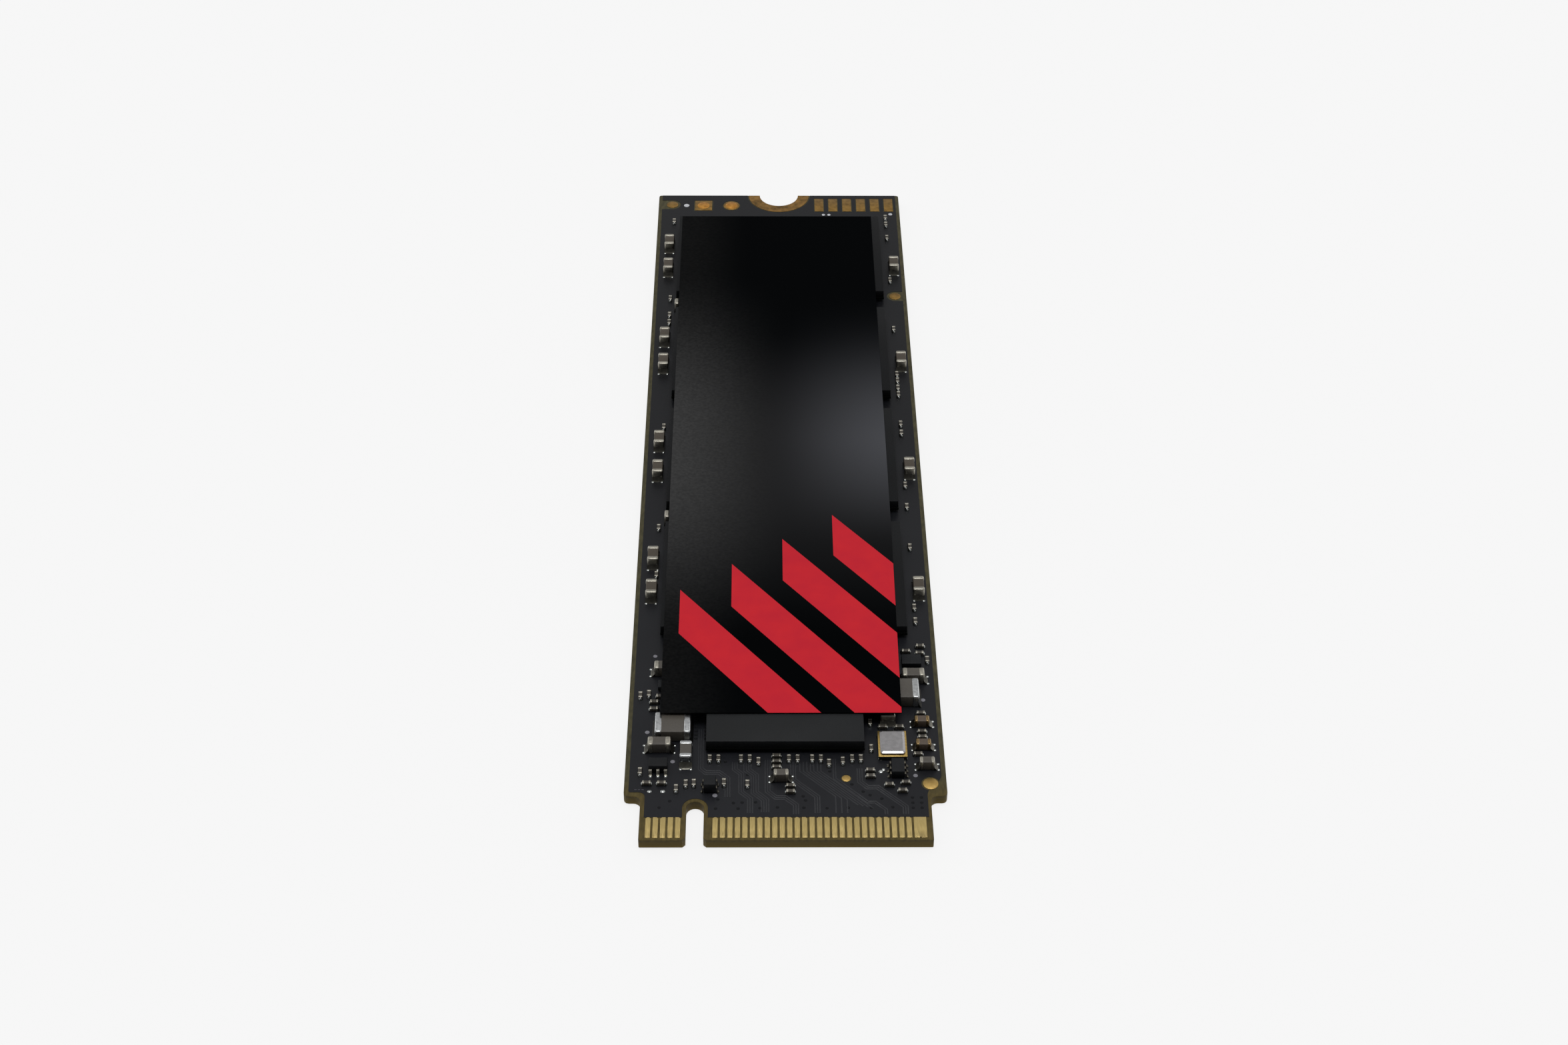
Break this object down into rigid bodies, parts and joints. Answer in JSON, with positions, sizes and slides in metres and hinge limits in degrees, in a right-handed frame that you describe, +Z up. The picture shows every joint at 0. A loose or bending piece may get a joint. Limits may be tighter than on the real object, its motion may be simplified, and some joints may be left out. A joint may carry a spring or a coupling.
{
  "type": "gumstick solid state drive",
  "caption": "Flat keyed-edge storage card with packages on one face, a label across their tops and a half-round screw notch at its far end.",
  "frame": {"origin": "centre of the underside, at the copper's lowest face", "axes": "+Z up out of the component side, +Y towards the screw end, -Y the edge connector, +X to the right seen from above with the connector near"},
  "size_m": [0.022, 0.08, 0.002],
  "materials": {
    "solder_mask": "very dark blue-grey solder mask over laminate, low gloss",
    "chip_mould": "near-black moulded epoxy, fine matt texture",
    "label_film": "black printed film with plain slanted red stripes",
    "ceramic_capacitor": "beige-brown ceramic between light grey tinned ends",
    "crystal_tray": "pale ceramic tray with a gilt rim",
    "crystal_lid": "bright pale metal lid"
  },
  "bodies": {
    "root": {"bulk_capacitor_left": "ceramic_capacitor", "bulk_capacitor_right": "ceramic_capacitor", "circuit_board": "solder_mask", "clock_buffer": "chip_mould", "controller_chip": "chip_mould", "core_capacitor": "ceramic_capacitor", "crystal_base": "crystal_tray", "crystal_capacitor": "ceramic_capacitor", "crystal_lid": "crystal_lid", "edge_capacitor_left_1": "ceramic_capacitor", "edge_capacitor_left_2": "ceramic_capacitor", "edge_capacitor_left_3": "ceramic_capacitor", "edge_capacitor_left_4": "ceramic_capacitor", "edge_capacitor_left_5": "ceramic_capacitor", "edge_capacitor_left_6": "ceramic_capacitor", "edge_capacitor_left_7": "ceramic_capacitor", "edge_capacitor_left_8": "ceramic_capacitor", "edge_capacitor_right_1": "ceramic_capacitor", "edge_capacitor_right_2": "ceramic_capacitor", "edge_capacitor_right_3": "ceramic_capacitor", "edge_capacitor_right_4": "ceramic_capacitor", "filter_capacitor_left": "ceramic_capacitor", "filter_capacitor_right": "ceramic_capacitor", "gap_capacitor_1": "ceramic_capacitor", "gap_capacitor_2": "ceramic_capacitor", "input_capacitor_front": "ceramic_capacitor", "input_capacitor_lower": "ceramic_capacitor", "input_capacitor_upper": "ceramic_capacitor", "label_sheet": "label_film", "memory_chip_1": "chip_mould", "memory_chip_2": "chip_mould", "memory_chip_3": "chip_mould", "memory_chip_4": "chip_mould", "output_capacitor_inner": "ceramic_capacitor", "output_capacitor_left": "ceramic_capacitor", "power_switch": "chip_mould", "regulator_left": "chip_mould", "regulator_right": "chip_mould", "row_capacitor_1": "ceramic_capacitor", "row_capacitor_10": "ceramic_capacitor", "row_capacitor_11": "ceramic_capacitor", "row_capacitor_12": "ceramic_capacitor", "row_capacitor_13": "ceramic_capacitor", "row_capacitor_14": "ceramic_capacitor", "row_capacitor_15": "ceramic_capacitor", "row_capacitor_16": "ceramic_capacitor", "row_capacitor_2": "ceramic_capacitor", "row_capacitor_3": "ceramic_capacitor", "row_capacitor_4": "ceramic_capacitor", "row_capacitor_5": "ceramic_capacitor", "row_capacitor_6": "ceramic_capacitor", "row_capacitor_7": "ceramic_capacitor", "row_capacitor_8": "ceramic_capacitor", "row_capacitor_9": "ceramic_capacitor", "temperature_sensor": "chip_mould"}
  },
  "joints": []
}
